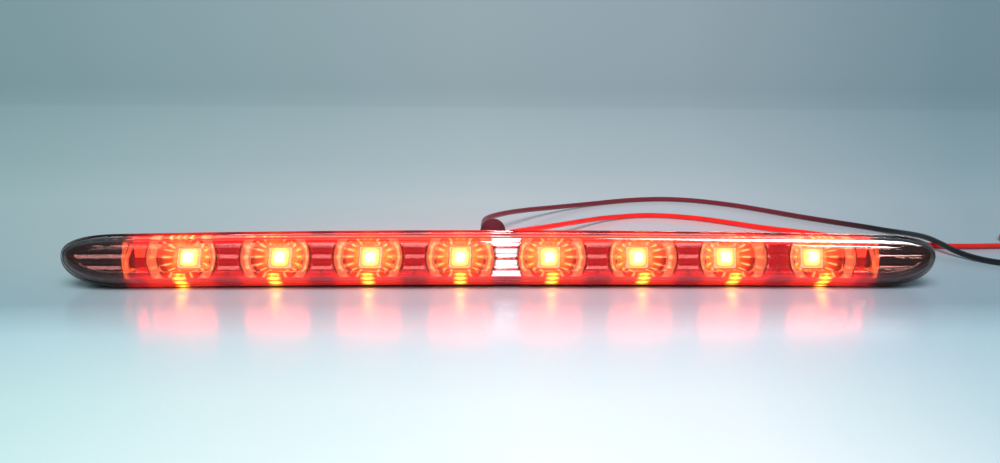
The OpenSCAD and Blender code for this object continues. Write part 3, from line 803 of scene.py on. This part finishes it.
# %% Make the housing
abs_black = grained("grained_black_ABS", "1A1A1B", "222223", (0.38, 0.55), 0.45, 0.02)
STUD_X = 78
bm = bmesh.new()
rings = [lens_ring(0.5, 2), lens_ring(0.5, 3.7), lens_ring(0.8, 4)]
rings += [tub_ring(-0.2, 4), tub_ring(0, 4.3), tub_ring(0, 16.2), tub_ring(0.25, 16.75), tub_ring(0.8, 17)]
loft(bm, rings, caps=("last",))
inner = [tub_ring(1.4, 2), tub_ring(1.4, 15.2), tub_ring(1.8, 15.6)]
loft(bm, inner, caps=("last",))
loft(bm, [lens_ring(0.5, 2), tub_ring(1.4, 2)])
tag_all(bm)
BOSS = [(0, 16.8), (4.2, 16.8), (4.2, 18.9), (3.9, 19.4), (2.95, 19.5), (2.95, 19.2), (0, 19.2)]
for x in (-STUD_X, STUD_X):
    lathe(bm, BOSS, Matrix.Translation((x, 0, 0)), steps=48)
finish_piece(bm, "black_housing", abs_black, ("housing",), "housing_black")

# %% [markdown]
# ## The studs
# An M5 thread has a pitch of 0.8 mm. The thread is one V-shaped ridge, spun round the axis while it moves
# along it, on a core turned on the lathe.

# %% Make the studs
zinc = grained("zinc_plated_steel", "B9BBBC", "A7A69C", (0.22, 0.38), 0.8, 0.003, metallic=1.0)
STUD_CORE = [(0, 16.2), (3.3, 16.2), (3.3, 18.4), (2.9, 18.4), (2.9, 19.5), (2.12, 19.6), (2.12, 33.1),
             (1.7, 33.5), (0, 33.5)]


def thread(bm, x, y0, y1, pitch=0.8, steps=24):
    turns = round((y1 - y0) / pitch)
    corners = [(2.05, -0.36), (2.5, -0.05), (2.5, 0.05), (2.05, 0.36)]
    verts = [bm.verts.new((x + r, y0 + dy, 0)) for r, dy in corners]
    edges = [bm.edges.new(pair) for pair in zip(verts, verts[1:] + verts[:1])]
    bmesh.ops.spin(bm, geom=verts + edges, cent=(x, 0, 0), axis=(0, 1, 0), angle=2 * math.pi * turns,
                   dvec=(0, pitch / steps, 0), steps=steps * turns)


for name, x in (("stud_left", -STUD_X), ("stud_right", STUD_X)):
    bm = bmesh.new()
    lathe(bm, STUD_CORE, Matrix.Translation((x, 0, 0)), steps=40)
    thread(bm, x, 20.2, 33.0)
    finish_piece(bm, f"threaded_{name}", zinc, (name,), "stud_zinc", sharp=25)

# %% [markdown]
# ## Vent and boot
# The vent is a small cap with a slot all round its foot. The boot is one rubber moulding: a neck through
# the housing, an elbow, a domed barrel and a ribbed outlet.

# %% Make the vent
bm = bmesh.new()
VENT = [(0, 15.6), (2.2, 15.6), (2.2, 17), (2.6, 17), (2.6, 17.35), (3.6, 17.35), (3.6, 18.3), (3.2, 18.75),
        (1.6, 18.8), (1.3, 18.6), (0, 18.6)]
lathe(bm, VENT, Matrix.Translation((45, 0, 0)), steps=40)
vent_grey = grained("dark_grey_nylon", "2A2A2C", "323234", (0.45, 0.6), 0.5, 0.012)
finish_piece(bm, "breather_vent", vent_grey, ("vent_plug",), "vent_plastic")

# %% Make the boot
rubber = lamplit(grained("moulded_rubber", "1B1A1A", "262424", (0.5, 0.68), 0.5, 0.02))
BOOT_X = -3.5
BOOT_BALL_Y = 22.5
BOOT_ANGLE = math.radians(75)
BOOT_RISE = 9.6
BOOT_R = 4.6
NECK_R = 3.9
ELBOW_R = 3.5
NECK_POINTS = 3
ELBOW_STEPS = 10
DOME_RINGS = 8


def elbow_path():
    points = [(17 + i, 0.0) for i in range(NECK_POINTS)]
    centre_y = BOOT_BALL_Y - ELBOW_R * math.tan(BOOT_ANGLE / 2)
    for i in range(ELBOW_STEPS + 1):
        a = BOOT_ANGLE * i / ELBOW_STEPS
        points.append((centre_y + ELBOW_R * math.sin(a), ELBOW_R * (1 - math.cos(a))))
    for d in (5.0, 7.0, 8.5, BOOT_RISE):
        points.append((BOOT_BALL_Y + d * math.cos(BOOT_ANGLE), d * math.sin(BOOT_ANGLE)))
    return points


def boot_sections():
    path = elbow_path()
    last = len(path) - 1
    for i, (y, z) in enumerate(path):
        before, after = path[max(0, i - 1)], path[min(last, i + 1)]
        slope = math.atan2(after[1] - before[1], after[0] - before[0])
        yield y, z, slope, NECK_R if i < NECK_POINTS else BOOT_R
    for i in range(1, DOME_RINGS):
        a = math.pi / 2 * i / (DOME_RINGS - 0.5)
        d = BOOT_RISE + BOOT_R * math.sin(a)
        yield (BOOT_BALL_Y + d * math.cos(BOOT_ANGLE), d * math.sin(BOOT_ANGLE), BOOT_ANGLE,
               BOOT_R * math.cos(a))


def boot_ring(y, z, slope, radius, sides=40):
    ring = []
    for k in range(sides):
        a = 2 * math.pi * k / sides
        ring.append((BOOT_X + radius * math.cos(a), y - radius * math.sin(a) * math.sin(slope),
                     z + radius * math.sin(a) * math.cos(slope)))
    return ring


bm = bmesh.new()
loft(bm, [boot_ring(*section) for section in boot_sections()], caps=("first", "last"))
tag_all(bm)
OUTLET = [(0, 24), (4.0, 24), (3.95, 26.5), (3.45, 27), (3.45, 27.8), (3.8, 28.2), (3.75, 29), (3.3, 29.4),
          (3.3, 30), (3.55, 30.4), (3.5, 31.2), (3.1, 31.6), (3.1, 32.4), (2.95, 33), (0, 33)]
lathe(bm, OUTLET, Matrix.Translation((BOOT_X, 0, OUTLET_Z)), steps=40)
LIP = [(0, 14.9), (4.0, 14.9), (4.2, 15.1), (4.2, 15.6), (3.2, 15.6), (3.2, 17), (4.3, 17), (4.4, 17.3),
       (4.2, 17.7), (0, 17.7)]
lathe(bm, LIP, Matrix.Translation((BOOT_X, 0, 0)), steps=40)
finish_piece(bm, "rubber_boot", rubber, ("wire_boot",), "boot_rubber", sharp=50)

# %% [markdown]
# ## The parts inside
# The board, its parts and screws, the sealant and the leads' inner runs keep their CAD shapes. Each gets
# the finish of its real material.

# %% Finishes for the CAD parts that stay
def use(material, *names):
    for name in names:
        mesh = cad_nodes[name].data
        mesh.materials.clear()
        mesh.materials.append(material)
    print(material.name, "on", len(names), "parts")


use(grained("green_solder_mask", "0F5A34", "0B4A2B", (0.3, 0.45), 1.2, 0.006), "circuit_board")
use(grained("component_epoxy", "1B1B1C", "262628", (0.5, 0.65), 0.4, 0.01),
    "resistor_1", "resistor_2", "resistor_3", "resistor_4", "protection_diode")
use(zinc, "board_screws")
use(grained("polyurethane_sealant", "171717", "202020", (0.4, 0.6), 0.9, 0.02), "sealant_bead")
use(grained("closed_cell_foam", "161616", "202020", (0.75, 0.95), 0.35, 0.09), "mounting_gasket")
use(vinyl["black"], "inner_lead_black")
use(vinyl["red"], "inner_lead_red")

# %% [markdown]
# ## The setting
# The lamp stands on a pale, slightly glossy table that runs up into a backdrop. A ramp along Y and
# another to the sides darken the table's colour, which gives the grey-green shade behind the lamp. Two
# weak red lights stand in for the glow that the lamp throws on the table, and three white ones are
# mirrored in the lens and reflector only.

# %% Table and backdrop
def table_top():
    # Lacquer on a pale board, with the shade of a lit room painted into its colour.
    material, tree, shader = new_material("pale_lacquered_table")
    coords = add_node(tree, "ShaderNodeTexCoord")
    axes = add_node(tree, "ShaderNodeSeparateXYZ", {"Vector": coords.outputs["Object"]})
    depth = add_node(tree, "ShaderNodeMapRange", {"Value": axes.outputs["Y"], "From Min": -0.2,
                     "From Max": 0.8})
    tone = add_node(tree, "ShaderNodeValToRGB", {"Fac": depth.outputs["Result"]})
    set_ramp(tone, [(0.0, linear("FFFFFF")), (0.075, linear("F8FBFC")), (0.13, linear("E2ECF4")),
                    (0.165, linear("B6BEC8")), (0.22, linear("C4C6CC")), (0.36, linear("CFD2D6")),
                    (0.50, linear("C5CDD1")), (0.85, linear("C5D0D5")), (1.0, linear("B0BDC3"))])
    run = add_node(tree, "ShaderNodeMath", {0: axes.outputs["Y"], 1: 0.38}, operation="ADD")
    width = add_node(tree, "ShaderNodeMath", {0: run.outputs[0], 1: 0.25}, operation="MAXIMUM")
    side = add_node(tree, "ShaderNodeMath", {0: axes.outputs["X"], 1: width.outputs[0]}, operation="DIVIDE")
    shade = add_node(tree, "ShaderNodeMapRange", {"Value": side.outputs[0], "From Min": -0.55,
                     "From Max": 0.45})
    cast = add_node(tree, "ShaderNodeValToRGB", {"Fac": shade.outputs["Result"]}, label="side shade")
    set_ramp(cast, [(0.0, (0.58, 0.78, 0.76, 1)), (0.25, (0.78, 0.89, 0.88, 1)), (0.55, (1, 1, 1, 1)),
                    (0.75, (0.95, 0.95, 0.97, 1)), (1.0, (0.62, 0.74, 0.78, 1))])
    mixed = add_node(tree, "ShaderNodeMix", {"Factor": 1.0, 6: tone.outputs["Color"],
                     7: cast.outputs["Color"]}, data_type="RGBA", blend_type="MULTIPLY")
    tree.links.new(mixed.outputs[2], shader.inputs["Base Color"])
    shader.inputs["Roughness"].default_value = 0.22
    shader.inputs["Specular IOR Level"].default_value = 0.3
    return material


TABLE_HALF = 5
TABLE_DROP = 0.0001
SHADE_FROM_Y = -0.5
SWEEP_Y = 0.7
SWEEP_R = 0.5
SWEEP_STEPS = 12
BACKDROP_TOP = 2.5
bm = bmesh.new()
profile = [(-TABLE_HALF, 0), (SHADE_FROM_Y, 0), (SWEEP_Y, 0)]
for i in range(1, SWEEP_STEPS + 1):
    a = math.pi / 2 * i / SWEEP_STEPS
    profile.append((SWEEP_Y + SWEEP_R * math.sin(a), SWEEP_R - SWEEP_R * math.cos(a)))
profile.append((SWEEP_Y + SWEEP_R, BACKDROP_TOP))
verts = [bm.verts.new((-TABLE_HALF, y, z - TABLE_DROP)) for y, z in profile]
edges = [bm.edges.new(pair) for pair in zip(verts, verts[1:])]
wide = bmesh.ops.extrude_edge_only(bm, edges=edges)["geom"]
far_side = [item for item in wide if isinstance(item, bmesh.types.BMVert)]
bmesh.ops.translate(bm, verts=far_side, vec=(2 * TABLE_HALF, 0, 0))
bmesh.ops.recalc_face_normals(bm, faces=bm.faces)
mesh = bpy.data.meshes.new("table")
bm.to_mesh(mesh)
bm.free()
for polygon in mesh.polygons:
    polygon.use_smooth = True
mesh.materials.append(table_top())
table = bpy.data.objects.new("table", mesh)
bpy.context.scene.collection.objects.link(table)

# %% Lights
def area_light(name, place, aim, size, power, colour="FFFFFF", seen=True):
    data = bpy.data.lights.new(name, "AREA")
    data.shape = "RECTANGLE"
    data.size, data.size_y = size
    data.energy = power
    data.color = linear(colour)[:3]
    light = bpy.data.objects.new(name, data)
    light.location = place
    light.rotation_euler = (Vector(aim) - Vector(place)).to_track_quat("-Z", "Y").to_euler()
    light.visible_camera = False
    light.visible_glossy = seen
    bpy.context.scene.collection.objects.link(light)
    return light


area_light("key", (-0.1, -1.2, 1.6), (0, 0.1, 0), (1.5, 1.0), 46.0, "F8FCFF", seen=False)
above = area_light("window_above", (0.255, 0.10, 0.42), (0.13, 0, 0), (0.17, 0.30), 4.5, "F0FFF8")
beside = area_light("window_beside", (0.262, -0.28, 0.30), (0.13, 0, 0), (0.07, 0.06), 0.8, "F0FFF8")
strip = area_light("tall_strip", (0.020, -0.36, 0.36), (0, 0, 0.01), (0.015, 0.40), 1.2)
shiny = bpy.data.collections.new("lens_and_reflector")
for piece in (lens, reflector):
    shiny.objects.link(piece)
for light in (above, beside, strip):
    light.visible_diffuse = False
    light.light_linking.receiver_collection = shiny
area_light("red_spill", (0, -0.014, 0.014), (0, -0.06, 0), (0.25, 0.008), 0.18, "FF2010", seen=False)
area_light("red_haze", (0.03, 0.035, 0.012), (0.03, 0.12, 0.01), (0.24, 0.02), 0.12, "FF2818", seen=False)

world = bpy.data.worlds.new("room")
bpy.context.scene.world = world
world.use_nodes = True
world.node_tree.nodes["Background"].inputs["Color"].default_value = linear("8A9C9E")
world.node_tree.nodes["Background"].inputs["Strength"].default_value = 0.7
bpy.context.scene.view_settings.view_transform = "Standard"
